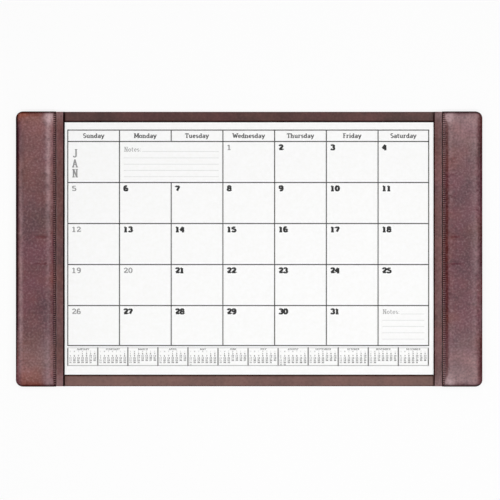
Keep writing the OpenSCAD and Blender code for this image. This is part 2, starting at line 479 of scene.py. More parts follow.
def rail_rows():
    """Places along a rail: close together over its end shoulders, then several to each stitch."""
    shoulder = END_W * np.linspace(0, 1, END_ROWS + 1)[:-1] ** CLUSTER
    straight = HALF_D - END_W
    count = round(2 * straight / STITCH_PITCH * ROWS_PER_STITCH)
    middle = np.linspace(-straight, straight, count + 1)
    return np.concatenate([shoulder - HALF_D, middle, (HALF_D - shoulder)[::-1]])


def foot_of(y):
    """Where the padding's slope meets the stitched margin."""
    return FOOT_U + CORNER_FILL * smooth(np.abs(y), HALF_D - CORNER_FILL_L, HALF_D)


def slope_power(y):
    """How full the slope is: fuller towards the rail's ends."""
    return SLOPE_POWER + (CORNER_POWER - SLOPE_POWER) * smooth(np.abs(y), HALF_D - CORNER_FILL_L, HALF_D)


def rail_columns(foot):
    """Distances inward from the side, for a row whose slope ends at the foot."""
    outer = MID_U * np.linspace(0, 1, OUTER_COLS + 1) ** CLUSTER
    crown = np.linspace(MID_U, SPACER_W, CROWN_COLS + 1)[1:]
    slope = foot - (foot - SPACER_W) * np.linspace(1, 0, SLOPE_COLS + 1)[1:] ** CLUSTER
    margin = np.linspace(foot, RAIL_W - LIP_R, MARGIN_COLS + 1)[1:]
    turns = np.radians(np.linspace(0, 90, LIP_COLS + 1)[1:])
    lip = RAIL_W - LIP_R + LIP_R * np.sin(turns)
    return np.concatenate([outer, crown, slope, margin, lip])


def bulge(share, power):
    """A full curve that is 1 at share 0 and falls to 0 at share 1."""
    return (1 - np.clip(share, 0, 1) ** power) ** (1 / power)


def padding_height(u, y, fullness):
    """Height of the leather over the rail board, with the padding filled to the given share."""
    foot = foot_of(y)
    outer = CROWN_H * bulge((MID_U - u) / MID_U, SHOULDER_POWER)
    slope = LEATHER_T + (CROWN_H - LEATHER_T) * bulge((u - MID_U) / (foot - MID_U), slope_power(y))
    full = np.where(u < MID_U, outer, slope)
    thin = np.minimum(full, LEATHER_T)
    lip = np.clip((u - RAIL_W + LIP_R) / LIP_R, 0, 1)
    rounded = LIP_R * (1 - np.sqrt(1 - lip ** 2))
    into_end = np.clip((np.abs(y) - HALF_D + END_W) / END_W, 0, 1)
    return (thin + (full - thin) * fullness - rounded) * bulge(into_end, END_POWER)


def rounded_plan(u, y, radius=CORNER_R, half_d=HALF_D):
    """Moves places in the corner squares of a sheet onto the corner's quarter round."""
    a = np.clip((radius - u) / radius, 0, 1)
    b = np.clip((np.abs(y) - half_d + radius) / radius, 0, 1)
    inward = radius * a * (1 - np.sqrt(1 - b * b / 2))
    back = radius * b * (1 - np.sqrt(1 - a * a / 2))
    return u + inward, y - np.sign(y) * back


def inflated(side):
    """How far pressure moves a rail's leather, on a coarse cloth held along its edges and seam."""
    ys = np.linspace(-HALF_D, HALF_D, round(2 * HALF_D / SIM_STEP) + 1)
    us = np.linspace(0, FOOT_U, round(FOOT_U / SIM_STEP) + 1)
    u, y = np.meshgrid(us, ys)
    z = Z_PAD + padding_height(u, y, START_FULLNESS)
    start = np.stack([SIDES[side] * (SIDE_X - u), y, z], axis=-1)
    faces = grid_faces(len(ys), len(us))
    if side == "right":
        faces = [f[::-1] for f in faces]
    mesh = bpy.data.meshes.new("padding_cloth")
    mesh.from_pydata(start.reshape(-1, 3).tolist(), [], faces)
    cloth = bpy.data.objects.new("padding_cloth", mesh)
    bpy.context.scene.collection.objects.link(cloth)
    inside = (u > 0) & (u < FOOT_U) & (np.abs(y) < HALF_D)
    held = cloth.vertex_groups.new(name="held")
    held.add(np.flatnonzero(~inside.ravel()).tolist(), 1.0, "REPLACE")
    settings = cloth.modifiers.new("cloth", "CLOTH").settings
    settings.vertex_group_mass = "held"
    settings.use_pressure = True
    settings.uniform_pressure_force = SIM_PRESSURE
    settings.shrink_min = SIM_SLACK
    settings.effector_weights.gravity = 0
    for step in range(1, SIM_FRAMES + 1):
        bpy.context.scene.frame_set(step)
    graph = bpy.context.evaluated_depsgraph_get()
    moved = np.array([v.co for v in cloth.evaluated_get(graph).data.vertices]).reshape(start.shape)
    bpy.data.objects.remove(cloth)
    bpy.context.scene.frame_set(1)
    shift = moved - start
    far = np.linalg.norm(shift, axis=-1, keepdims=True)
    return us, ys, shift * np.minimum(1, SIM_CAP / np.maximum(far, TINY))


def spread(field, u, y):
    """Values of a coarse field between its points."""
    us, ys, values = field
    i = np.clip(np.searchsorted(ys, y) - 1, 0, len(ys) - 2)
    j = np.clip(np.searchsorted(us, u) - 1, 0, len(us) - 2)
    t = np.clip((y - ys[i]) / (ys[i + 1] - ys[i]), 0, 1)[..., None]
    s = np.clip((u - us[j]) / (us[j + 1] - us[j]), 0, 1)[..., None]
    near = values[i, j] * (1 - s) + values[i, j + 1] * s
    far = values[i + 1, j] * (1 - s) + values[i + 1, j + 1] * s
    return near * (1 - t) + far * t


def stitch_turn(y):
    """The phase of the stitch row: 0 at the middle of a stitch and pi between two stitches."""
    return 2 * np.pi * y / STITCH_PITCH + (0 if STITCH_COUNT % 2 else np.pi)


def uneven_along(y, seed):
    """A factor around 1 that changes from stitch to stitch along a seam."""
    places = np.stack([0 * y, y, 0 * y], axis=-1).reshape(-1, 3)
    return 1 + PUCKER_UNEVEN * noise_at(places, 2 * STITCH_PITCH, seed).reshape(y.shape)


def sewn_relief(u, y, seed):
    """Puckers that run from the stitches up the slope, and dimples at the needle holes."""
    foot = foot_of(y)
    turn = stitch_turn(y)
    uneven = uneven_along(y, seed)
    reach = smooth(u, foot - PUCKER_W, foot - MARGIN_W) * (1 - smooth(u, foot, foot + PUCKER_END))
    ends = 1 - smooth(np.abs(y), HALF_D - CORNER_FILL_L, HALF_D - END_W)
    pucker = PUCKER_H * uneven * reach * ends * np.cos(turn)
    hole = np.exp(-((u - STITCH_U) / THREAD_W) ** 2) * ((1 - np.cos(turn)) / 2) ** 2
    return pucker - DIMPLE_H * hole * (np.abs(y) < HALF_D - END_W / 2)


# Painted shade along a rail's outer edge, where it rounds down: how deep, and the distances over which it
# fades
EDGE_SHADE = {"left": (0.89, 3.4 * MM, 5.8 * MM), "right": (0.34, 3.5 * MM, 9.0 * MM)}
# How wide that is along the edge, from front to back: millimetres and shares of it
EDGE_ALONG = {"left": ((-235, 0.35), (-180, 0.5), (-127, 0.8), (-60, 1)),
              "right": ((-230, 1), (-165, 0.9), (-127, 0.15), (-95, 0.7), (0, 0.9), (120, 0.95),
                        (180, 1.15))}
# Painted shade in a stripe inward of the painted highlight at the left rail's outer shoulder
TROUGH_SHADE = {"left": ((40, 0), (95, 0.16), (137, 0.25), (175, 0.29), (208, 0.28), (230, 0)),
              "right": ((0, 0),)}
TROUGH_AT = (13.5 * MM, 4.5 * MM)
# Painted shade on the slope down to the stitches: how dark, how brown, and where that starts
SLOPE_SHADE = {"left": 0.0, "right": 0.37}
SLOPE_SHADE_BROWN = {"left": 0.1, "right": 0.14}
SLOPE_TOP_U, SLOPE_FADE = 63.0 * MM, 2.2 * MM
# Painted shade in the folds between the stitches: how deep, and how far it reaches up the slope
FOLD_SHADE = {"left": (0.95, 2.4 * MM), "right": (0.75, 4.5 * MM)}
FOLD_SEED = 2
# Painted shade along the cut edge beside the flap
SEAM_SHADE = {"left": 0.6, "right": 0.95}
SEAM_FROM, SEAM_TO = RAIL_W - 1.4 * MM, RAIL_W - 0.9 * MM
# Painted shade over a rail's rounded ends: how deep, and the distances over which it fades
END_SHADE = 0.88
END_FROM, END_TO = 1.5 * MM, 8.0 * MM
# A rail's walls carry at least this much painted shade
WALL_SHADE = 0.6
# Painted highlights in stretches along a rail's shoulders: where their middle is and how far they reach
# across
BAND_AT = {"left": (9.5 * MM, 4 * MM), "right": (12.5 * MM, 8 * MM)}
RIDGE_AT = {"left": (61.5 * MM, 4.5 * MM), "right": (60 * MM, 4 * MM)}
# How strong these painted highlights and the one over the whole rail are, and how brown the whole rail is,
# from front to back: millimetres and shares
BAND_HIGHLIGHT = {"left": ((-240, 0.08), (-221, 0.27), (-163, 0.43), (-60, 0.34), (0, 0.31), (110, 0.3),
                     (137, 0.27), (175, 0.2), (208, 0.15), (240, 0.06)),
            "right": ((-200, 0.1), (0, 0.17), (200, 0.08))}
RIDGE_HIGHLIGHT = {"left": ((-245, 0.13), (-180, 0.12), (-127, 0.08), (0, 0.13), (110, 0.33), (200, 0.4),
                      (240, 0.44)),
             "right": ((-200, 0.08), (0, 0.06), (200, 0.09))}
BODY_HIGHLIGHT = {"left": ((-245, 0.08), (-225, 0.14), (-200, 0.15), (-163, 0.06), (-113, 0), (0, 0.01),
                     (110, 0.06), (200, 0.1), (245, 0.15)),
            "right": ((-245, 0.27), (-221, 0.22), (-200, 0.17), (-163, 0.08), (-113, 0.02), (0, 0),
                      (110, 0.04), (160, 0.08), (200, 0.16), (221, 0.22), (245, 0.29))}
BODY_BROWN = {"left": ((-250, 0.55), (-236, 0.42), (-210, 0.17), (-150, 0.1), (-90, 0), (50, 0),
                       (110, 0.1), (210, 0.2), (235, 0.3), (250, 0.45)),
              "right": ((0, 0),)}
# The painted highlight over the whole rail, and its brown tone, begin inward of its outer shoulder
BODY_FROM, BODY_TO = 5 * MM, 15 * MM
# How far the painted highlights differ from place to place
HIGHLIGHT_UNEVEN = 0.35
# Painted highlights in narrow stripes on the stitches, between the shaded folds
FOLD_HIGHLIGHT = {"left": 0.3, "right": 0.5}
STRIPE_POWER = 1.6
# Painted highlights on the puffed inner corners, at the front and at the back
CORNER_HIGHLIGHT = {"left": (0.15, 0.75), "right": (0.45, 0.45)}
CORNER_HIGHLIGHT_U, CORNER_HIGHLIGHT_V = 63 * MM, 9 * MM
CORNER_HIGHLIGHT_W, CORNER_HIGHLIGHT_L = 9 * MM, 11 * MM
# The left rail's outer corner at the back is the brownest
CORNER_BROWN = {"left": 0.95, "right": 0.0}
BROWN_U, BROWN_W = 13 * MM, 18 * MM
BROWN_L = 16 * MM
# The browning of the whole rail ends before its inner ridge
BROWN_FROM, BROWN_TO = 42 * MM, 60 * MM
# Painted shade on the left rail's front end
BODY_SHADE = {"left": ((-250, 0.2), (-243, 0.15), (-235, 0.05), (-228, 0)), "right": ((0, 0),)}


def bell(value, middle, reach):
    """A soft bump of height 1 around a middle."""
    return np.exp(-((value - middle) / reach) ** 2)


def along(y, places):
    """A share that is given at places along a rail, and changes evenly between them."""
    return np.interp(y, [place * MM for place, _ in places], [share for _, share in places])


def stripes(y):
    """Narrow stripes across a seam: 1 at the middle of a stitch and 0 between two stitches."""
    return ((1 + np.cos(stitch_turn(y))) / 2) ** STRIPE_POWER


def folded(side, u, y, seed):
    """How much painted shade and highlight the folds get: fully beside the stitches, then less up the slope.
    """
    reach = FOLD_SHADE[side][1] * uneven_along(y, seed + FOLD_SEED)
    return smooth(u, FOOT_U - reach, FOOT_U + reach / 2)


def on_slope(u, y):
    """1 on the slope between the ridge and the stitches, which narrows to nothing at a rail's ends."""
    taper = (FOOT_U - SLOPE_TOP_U) * smooth(np.abs(y), HALF_D - CORNER_FILL_L, HALF_D - END_W)
    start = SLOPE_TOP_U + taper
    return smooth(u, start, start + SLOPE_FADE) * (1 - smooth(u, FOOT_U - SLOPE_FADE, FOOT_U))


def rail_painted_shade(side, u, y, seed):
    """Painted shade on a rail's leather: along its outer edges and ends, on the slope, in the folds and in
    the sewn margin.
    """
    depth, near, far = EDGE_SHADE[side]
    wide = along(y, EDGE_ALONG[side])
    edge = depth * (1 - smooth(u, near * wide, far * wide))
    end = END_SHADE * (1 - smooth(HALF_D - np.abs(y), END_FROM, END_TO))
    trough = along(y, TROUGH_SHADE[side]) * bell(u, *TROUGH_AT)
    slope = SLOPE_SHADE[side] * on_slope(u, y)
    folds = FOLD_SHADE[side][0] * folded(side, u, y, seed) * (1 - stripes(y))
    seam = SEAM_SHADE[side] * smooth(u, SEAM_FROM, SEAM_TO)
    return np.maximum.reduce([edge, end, trough, slope + folds, seam, along(y, BODY_SHADE[side])]).clip(0, 1)


def rail_painted_highlight(side, u, y, seed):
    """Painted highlights on a rail's leather: along both shoulders, towards its ends, on the stitches and in
    its inner corners.
    """
    from_end = HALF_D - np.abs(y)
    front, back = CORNER_HIGHLIGHT[side]
    corner = np.where(y < 0, front, back)
    shares = [along(y, BAND_HIGHLIGHT[side]) * bell(u, *BAND_AT[side]),
              along(y, RIDGE_HIGHLIGHT[side]) * bell(u, *RIDGE_AT[side]),
              along(y, BODY_HIGHLIGHT[side]) * smooth(u, BODY_FROM, BODY_TO),
              FOLD_HIGHLIGHT[side] * folded(side, u, y, seed) * stripes(y),
              corner * bell(u, CORNER_HIGHLIGHT_U, CORNER_HIGHLIGHT_W) * bell(from_end, CORNER_HIGHLIGHT_V, CORNER_HIGHLIGHT_L)]
    kept = np.prod([1 - s for s in shares], axis=0)
    places = np.stack([u, y, 0 * y], axis=-1).reshape(-1, 3)
    uneven = 1 + HIGHLIGHT_UNEVEN * noise_at(places, WAVE_L, seed).reshape(y.shape)
    return np.clip((1 - kept) * uneven, 0, 1)


def rail_brown_and_slope_shade(side, u, y):
    """Where a rail's leather is brown: towards its ends and most at its outer corner at the back, as its own
    tone, and on the slope, as painted shade.
    """
    corner = CORNER_BROWN[side] * bell(u, BROWN_U, BROWN_W) * bell(y, HALF_D, BROWN_L)
    within = smooth(u, BODY_FROM, BODY_TO) * (1 - smooth(u, BROWN_FROM, BROWN_TO))
    body = along(y, BODY_BROWN[side]) * within
    return np.maximum.reduce([corner, body, SLOPE_SHADE_BROWN[side] * on_slope(u, y)])


def rail_cover(side, seed):
    """Leather of one rail over its padding, around the side and ends and turned in under the board."""
    rows = rail_rows()
    u = np.array([rail_columns(foot_of(y)) for y in rows])
    y = np.repeat(rows[:, None], u.shape[1], axis=1)
    puffed = spread(inflated(side), u, y)
    flat_u, flat_y = rounded_plan(u, y)
    z = Z_PAD + padding_height(u, y, START_FULLNESS) + sewn_relief(u, y, seed)
    top = np.stack([SIDES[side] * (SIDE_X - flat_u), flat_y, z], axis=-1) + puffed
    inside = smooth(np.minimum(u, HALF_D - np.abs(y)), 0, CALM_W) * (1 - smooth(u, FOOT_U, RAIL_W))
    places = top.reshape(-1, 3)
    waves = WAVE_H * noise_at(places, WAVE_L, seed) + RIPPLE_H * noise_at(places, RIPPLE_L, seed)
    top[..., 2] += waves.reshape(z.shape) * inside
    # Painted shade, painted highlights, and brown tone with painted shade on the slope, as marks on the
    # points
    marks = {SHADE_AND_EDGE_PAINT: rail_painted_shade(side, u, y, seed),
             PAINTED_HIGHLIGHT: rail_painted_highlight(side, u, y, seed),
             BROWN_AND_SHADE: rail_brown_and_slope_shade(side, u, y)}
    return close_rail(side, top, u, y, {name: list(values.ravel()) for name, values in marks.items()})


def wall_sections():
    """The rail's wall as insets and heights: whole, and above the paper pocket, where it is short."""
    upper = [(0, Z_SLOT)]
    lower = [(0, CORE_HI.z), (0, Z_LEATHER + 2 * EDGE_R)]
    turn = [(EDGE_R + x, z) for x, z in arc((0, Z_LEATHER + EDGE_R), EDGE_R, 180, 270)]
    under = [(TURN_IN, Z_LEATHER), (TURN_IN, Z_BOARD), (LEATHER_T, Z_BOARD)]
    inner = [(LEATHER_T, Z_SLOT), (LEATHER_T, Z_PAD)]
    return upper + lower + turn + under + inner, upper + inner


def close_rail(side, top, u, y, marks):
    """Closes a rail's top surface with its walls, its turned-in edges and its flat underside."""
    rows, cols = u.shape
    points = list(top.reshape(-1, 3))
    faces = grid_faces(rows, cols)
    front = [(0, c) for c in range(cols - 1, 0, -1)]
    outer = [(r, 0) for r in range(rows)]
    back = [(rows - 1, c) for c in range(1, cols)]
    whole, short = wall_sections()
    rings = []
    for r, c in front + outer + back:
        x, at_y = rounded_plan(u[r, c], y[r, c])
        inward = wall_normal(u[r, c], y[r, c])
        ring = [r * cols + c]
        for inset, z in whole if c <= SPACER_COL else short:
            deep_u = max(x + inward[0] * inset, inset)
            limit = HALF_D - inset
            deep_y = min(max(at_y + inward[1] * inset, -limit), limit)
            ring.append(len(points))
            points.append((SIDES[side] * (SIDE_X - deep_u), deep_y, z))
            # Walls carry at least the walls' painted shade, and no painted highlight or brown tone
            for name, values in marks.items():
                values.append(max(WALL_SHADE, values[ring[0]]) if name == SHADE_AND_EDGE_PAINT else 0)
        rings.append(ring)
    brief = [(ring[0], ring[1], ring[-2], ring[-1]) for ring in rings]
    for i in range(len(rings) - 1):
        pair = rings[i:i + 2]
        if len(pair[0]) != len(pair[1]) or len(pair[0]) == len(short) + 1:
            pair = brief[i:i + 2]
        if len(rings[i]) != len(rings[i + 1]):
            longer = max(rings[i:i + 2], key=len)
            faces.append(tuple(longer[1:-1]))
        for k in range(len(pair[0]) - 1):
            faces.append((pair[0][k], pair[1][k], pair[1][k + 1], pair[0][k + 1]))
    faces.append(brief[0])
    faces.append(brief[-1])
    faces.append(tuple(ring[-1] for ring in rings))
    seam = [r * cols + cols - 1 for r in range(rows)]
    faces.append(tuple(seam + [rings[-1][-1], rings[0][-1]]))
    name = side + "_rail_leather"
    stands_for = (side + "_rail_cover", side + "_rail_foam")
    made = piece(name, points, faces, "rail_leather", "base", stands_for, marks)


def wall_normal(u, y):
    """The inward direction, as distance from the side and along the rail, at a place on the outline."""
    a = max(0.0, (CORNER_R - u) / CORNER_R)
    b = max(0.0, (abs(y) - HALF_D + CORNER_R) / CORNER_R)
    if a > 0 and b > 0:
        out = (a * math.sqrt(1 - b * b / 2), b * math.sqrt(1 - a * a / 2))
    else:
        out = (1.0, 0.0) if a > 0 else (0.0, 1.0)
    return out[0], -math.copysign(out[1], y)


# Stitching

STITCH_SIDES = 8
STITCH_RINGS = 7
# The rings at a stitch's ends, which carry painted shade
STITCH_SHADED_RINGS = (0, 1, STITCH_RINGS - 2, STITCH_RINGS - 1)
STITCH_SINK = 0.25 * MM
STITCH_SLANT = 5
STITCH_SWAY = 2.5
# A stitch's arch is flat on top, and its thread is flattened and seated a little in the leather
ARCH_POWER = 4
ARCH_H = STITCH_H - THREAD_W / 4
THREAD_RISE = THREAD_W / 3
THREAD_SEAT = THREAD_W / 8
TIP_SHRINK = 0.6
STITCH_SEED = 11


def stitch(y, u, turn):
    """One stitch: a short arched length of thread whose ends go down into the leather."""
    rings = []
    for i in range(STITCH_RINGS):
        t = 2 * i / (STITCH_RINGS - 1) - 1
        reach = t * STITCH_LEN / 2
        tip = abs(t) == 1
        level = Z_MARGIN + (1 - t ** ARCH_POWER) * ARCH_H - (STITCH_SINK if tip else 0) - THREAD_SEAT
        share = TIP_SHRINK if tip else 1.0
        ring = []
        for k in range(STITCH_SIDES):
            a = 2 * math.pi * k / STITCH_SIDES
            across = math.cos(a) * THREAD_W / 2 * share
            lift = math.sin(a) * THREAD_RISE * share
            ring.append((u + across - reach * math.sin(turn), y + reach * math.cos(turn), level + lift))
        rings.append(ring)
    return rings


def seam_thread(side, dice):
    """The row of stitches beside one seam, with painted shade where they go down into their holes."""
    points, faces, dark = [], [], []
    for i in range(STITCH_COUNT):
        y = (i - (STITCH_COUNT - 1) / 2) * STITCH_PITCH
        turn = math.radians(STITCH_SLANT + dice.uniform(-STITCH_SWAY, STITCH_SWAY))
        rings = stitch(y, STITCH_U, turn)
        rings = [[(SIDES[side] * (SIDE_X - u), v, z) for u, v, z in ring] for ring in rings]
        more, quads = swept(rings)
        faces += [tuple(k + len(points) for k in f) for f in quads]
        points += more
        # Painted shade on the rings at each stitch's ends
        dark += [float(r in STITCH_SHADED_RINGS) for r in range(STITCH_RINGS) for _ in range(STITCH_SIDES)]
    made = piece(side + "_stitches", points, faces, "thread", "base",
                 (side + "_seam_thread",), {SHADE_AND_EDGE_PAINT: dark})


# Flaps

FLAP_W = FLAP_HI.x - FLAP_LO.x
FLAP_T = FLAP_HI.z - FLAP_LO.z
FLAP_STEP = 4 * MM
FLAP_COLS = 12
FLAP_CROWN = 0.08 * MM
FLAP_GROOVE_AT = FLAP_W - 5.2 * MM
FLAP_GROOVE_W = 0.7 * MM
FLAP_GROOVE_H = 0.16 * MM
FLAP_WAVE = 0.1 * MM
FLAP_WAVE_L = 60 * MM
FLAP_END_R = 0.4 * MM
# The dark free edge, edge paint with painted shadow from the gap under it: how dark it is and how far it
# reaches in
EDGE_PAINT_AND_SHADE = {"left": (1.0, 3.0 * MM), "right": (0.85, 2.4 * MM)}
# Painted highlights in stripes along a flap, at its rolled edges and on its top: how strong they are, where
# their middle is and how far they reach
FLAP_HIGHLIGHT = {"left": [(0.1, FLAP_W - 4.0 * MM, 0.8 * MM), (0.14, 1.0 * MM, 1.4 * MM)],
            "right": [(0.05, 5.5 * MM, 3.5 * MM), (0.03, FLAP_W / 2, FLAP_W), (0.08, 1.2 * MM, 1.4 * MM)]}
# Painted highlight at a flap's raised ends: how strong, and how far it reaches
FLAP_END_HIGHLIGHT, FLAP_END_L = 0.34, 18 * MM
FLAP_UNEVEN = 0.5
# Places across the groove in groove widths, and where the dark edge has faded out, in its widths
GROOVE_PLACES = (-1, -0.4, 0, 0.4, 1)
DARK_EDGE_FADE = 0.9
ROLL_STEPS = 8
# A flap's rounded ends: distances from the end in end radii, and shares of the full thickness
FLAP_ENDS = ((0.0, 0.55), (0.35, 0.88), (1.0, 1.0))
# Places in the noise for a flap's painted highlights and for its waves
HIGHLIGHT_LAYER, WAVE_LAYER, LIFT_SEED = 2.5, 0.5, 7


def flap_section(dark_edge_w):
    """A flap's section as distance from the seam edge and height over its middle."""
    r = FLAP_T / 2
    across = np.linspace(r, FLAP_W - r, FLAP_COLS)
    groove_at = FLAP_GROOVE_AT + FLAP_GROOVE_W * np.array(GROOVE_PLACES)
    dark_edge_at = FLAP_W - dark_edge_w * np.array([1.0, DARK_EDGE_FADE])
    across = np.sort(np.concatenate([across, groove_at, dark_edge_at]))
    groove = FLAP_GROOVE_H * bell(across, FLAP_GROOVE_AT, FLAP_GROOVE_W / 2)
    crown = FLAP_CROWN * np.sin(np.pi * (across - r) / (FLAP_W - 2 * r))
    top = list(zip(across, r + crown - groove))
    tip = arc((FLAP_W - r, 0), r, 90, -90, ROLL_STEPS)[1:-1]
    under = [(w, -r) for w in across[::-1]]
    roll = arc((r, 0), r, 270, 90, ROLL_STEPS)[1:-1]
    return top + tip + under + roll


def flap_painted_highlight(side, w, y):
    """Painted highlights on a flap: in stripes along it, and at its ends."""
    uneven = 1 + FLAP_UNEVEN * noise.noise(Vector((w / FLAP_W, y / FLAP_WAVE_L, HIGHLIGHT_LAYER)))
    highlighted = sum(depth * bell(w, middle, reach) for depth, middle, reach in FLAP_HIGHLIGHT[side])
    end = FLAP_END_HIGHLIGHT * bell(HALF_D - abs(y), 0, FLAP_END_L)
    return float(highlighted * uneven + end)


def flap(side, seed):
    """One flap, folded around its stiffener, with a dark free edge of edge paint and painted shadow."""
    depth, dark_edge_w = EDGE_PAINT_AND_SHADE[side]
    section = flap_section(dark_edge_w)
    ends = [(FLAP_HI.y - FLAP_END_R * far, share) for far, share in FLAP_ENDS]
    straight = ends[-1][0]
    middle = np.linspace(-straight, straight, round(2 * straight / FLAP_STEP) + 1)[1:-1]
    rows = [(-y, share) for y, share in ends] + [(y, 1.0) for y in middle] + ends[::-1]
    mid_z = (FLAP_LO.z + FLAP_HI.z) / 2
    rings, painted, painted_highlight = [], [], []
    for y, share in rows:
        sway = noise.noise(Vector((seed, y / FLAP_WAVE_L, WAVE_LAYER)))
        lift = noise.noise(Vector((seed + LIFT_SEED, y / FLAP_WAVE_L, WAVE_LAYER)))
        ring = []
        for w, h in section:
            reach = w / FLAP_W
            x = FLAP_HI.x - w - FLAP_WAVE * sway * reach
            ring.append((SIDES[side] * x, y, mid_z + h * share + FLAP_WAVE * lift * reach))
            # The dark free edge: edge paint and painted shadow
            painted.append(float(depth * smooth(w, FLAP_W - dark_edge_w, FLAP_W - DARK_EDGE_FADE * dark_edge_w)))
            painted_highlight.append(flap_painted_highlight(side, w, y))
        rings.append(ring)
    points, faces = swept(rings)
    made = piece(side + "_flap", points, faces, "flap_leather", side + "_flap",
                 (side + "_flap_leather",), {SHADE_AND_EDGE_PAINT: painted, PAINTED_HIGHLIGHT: painted_highlight})


# Base leather and felt

BASE_STEP = 6 * MM
BAR_COLS = 18
BAR_W = 30 * MM
FIELD_COLS = 12
BASE_WAVE = 0.06 * MM
BASE_WAVE_L = 22 * MM
# Columns of points lie closer together towards the rims
BAR_CLUSTER = 1.5
# The front bar has a painted highlight, uneven along it, and both rims have painted shade where they round
# down
FRONT_HIGHLIGHT, FRONT_HIGHLIGHT_L, FRONT_UNEVEN = 0.25, 90 * MM, 0.5
FRONT_LAYER = (0.3, 0.8)
FRONT_RIM_SHADE, BACK_RIM_SHADE = 0.7, 0.15
RIM_FROM, RIM_TO = 0.4 * MM, 2.2 * MM
# Painted shadow along the calendar's front and back edges, and painted shade a little darker towards the
# left behind it
PAPER_SHADOW = {-1: (0.6, 6.0 * MM), 1: (0.62, 6.5 * MM)}
BACK_SHADE = 0.12
PAPER_LO, PAPER_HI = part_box("january_sheet")


def bar_painted_shade(x, y):
    """Painted shade on the base leather: along its rims, the calendar's shadow along its edges, and towards
    the left behind it.
    """
    end = -1 if y < 0 else 1
    rim = (FRONT_RIM_SHADE if end < 0 else BACK_RIM_SHADE) * (1 - smooth(HALF_D - abs(y), RIM_FROM, RIM_TO))
    depth, reach = PAPER_SHADOW[end]
    off = abs(y) - (-PAPER_LO.y if end < 0 else PAPER_HI.y)
    paper = depth * (1 - smooth(off, 0, reach))
    shade = BACK_SHADE * (1 - smooth(x, BASE_LO.x, BASE_HI.x)) if end > 0 else 0
    return float(max(rim, paper, shade))


def bar_painted_highlight(x, y):
    """The painted highlight on the front of the base leather, uneven along it."""
    if y > 0:
        return 0.0
    return FRONT_HIGHLIGHT * (1 + FRONT_UNEVEN * noise.noise(Vector((x / FRONT_HIGHLIGHT_L, *FRONT_LAYER))))


def base_section():
    """Section of the base leather as depth and height: over the board, around it and turned in below."""
    low, high = Z_LEATHER, BASE_HI.z
    bar = list(HALF_D - EDGE_R - (BAR_W - EDGE_R) * np.linspace(0, 1, BAR_COLS) ** BAR_CLUSTER)
    field = list(np.linspace(BAR_W - HALF_D, HALF_D - BAR_W, FIELD_COLS)[1:-1])
    top = [(-y, high) for y in bar] + [(y, high) for y in field] + [(y, high) for y in bar[::-1]]
    back = arc((HALF_D - EDGE_R, high - EDGE_R), EDGE_R, 90, 0)[1:]
    back += arc((HALF_D - EDGE_R, low + EDGE_R), EDGE_R, 0, -90)
    lip = [(HALF_D - TURN_IN, low), (HALF_D - TURN_IN, Z_BOARD)]
    inner = [(HALF_D - LEATHER_T, Z_BOARD), (HALF_D - LEATHER_T, CORE_HI.z)]
    right = back + lip + inner
    return top + right + [(-y, z) for y, z in right[::-1]]


def base_leather():
    """Leather over the board, with the faint waves of a glued skin."""
    section = base_section()
    xs = np.linspace(BASE_LO.x, BASE_HI.x, round((BASE_HI.x - BASE_LO.x) / BASE_STEP) + 1)
    rings, shade_and_paint, highlighted = [], [], []
    for x in xs:
        ring = []
        for y, z in section:
            wave = noise.noise(Vector((x, y, 0)) / BASE_WAVE_L) if z == BASE_HI.z else 0
            ring.append((x, y, z - BASE_WAVE * (1 + wave) / 2))
            # Painted shade and painted highlight on each point
            shade_and_paint.append(bar_painted_shade(x, y))
            highlighted.append(bar_painted_highlight(x, y))
        rings.append(ring)
    points, faces = swept(rings)
    made = piece("base_leather_skin", points, faces, "base_leather", "base", ("base_leather",),
                 {SHADE_AND_EDGE_PAINT: shade_and_paint, PAINTED_HIGHLIGHT: highlighted})


FELT_STEP = 7 * MM
FELT_R = 4 * MM
FELT_NAP = 0.08 * MM
FELT_NAP_L = 6 * MM


def felt_backing():
    """The felt panel: a soft sheet with rounded corners and a slightly uneven nap."""
    half_w, half_d = FELT_HI.x, FELT_HI.y
    cols = round(2 * half_w / FELT_STEP)
    rows = round(2 * half_d / FELT_STEP)
    xs = np.linspace(-half_w, half_w, cols + 1)
    ys = np.linspace(-half_d, half_d, rows + 1)
    points = []
    for level in (FELT_LO.z, FELT_HI.z):
        for y in ys:
            for x in xs:
                inward, py = rounded_plan(half_w - abs(x), y, FELT_R, half_d)
                px = math.copysign(half_w - inward, x)
                nap = FELT_NAP * (1 + noise.noise(Vector((px, py, level)) / FELT_NAP_L)) / 2
                points.append((px, py, level + nap if level == FELT_LO.z else level))
    per_level = len(xs) * len(ys)
    under = grid_faces(len(ys), len(xs))
    over = [f[::-1] for f in grid_faces(len(ys), len(xs), per_level)]
    rim = [c for c in range(cols)] + [r * (cols + 1) + cols for r in range(rows)]
    rim += [rows * (cols + 1) + c for c in range(cols, 0, -1)]
    rim += [r * (cols + 1) for r in range(rows, 0, -1)]
    edge = [(rim[i - 1], rim[i], rim[i] + per_level, rim[i - 1] + per_level) for i in range(len(rim))]
    made = piece("felt_panel", points, under + over + edge, "felt", "base", ("felt_backing",))


# Lettering: strokes of a broad pen in a box one cap height tall

LEFT, STEM, MID, RIGHT = 0.10, 0.17, 0.31, 0.52
BASE, HALF, CAP, XTOP = 0.05, 0.50, 0.95, 0.64
DIGIT_W, WIDE_W, NARROW_W = 0.62, 0.86, 0.40
SERIF, HALF_SERIF = 0.15, 0.12
# A curved stroke has a point for each step in degrees, and at least a few
BOW_STEP, BOW_LEAST = 26, 3


def line(*places):
    """A pen stroke through places given as x, y, x, y."""
    return list(zip(places[::2], places[1::2]))


def bow(x, y, rx, ry, start, end):
    """A curved pen stroke about a centre, with angles in degrees."""
    steps = max(BOW_LEAST, round(abs(end - start) / BOW_STEP))
    turns = [math.radians(start + (end - start) * i / steps) for i in range(steps + 1)]
    return [(x + rx * math.cos(a), y + ry * math.sin(a)) for a in turns]


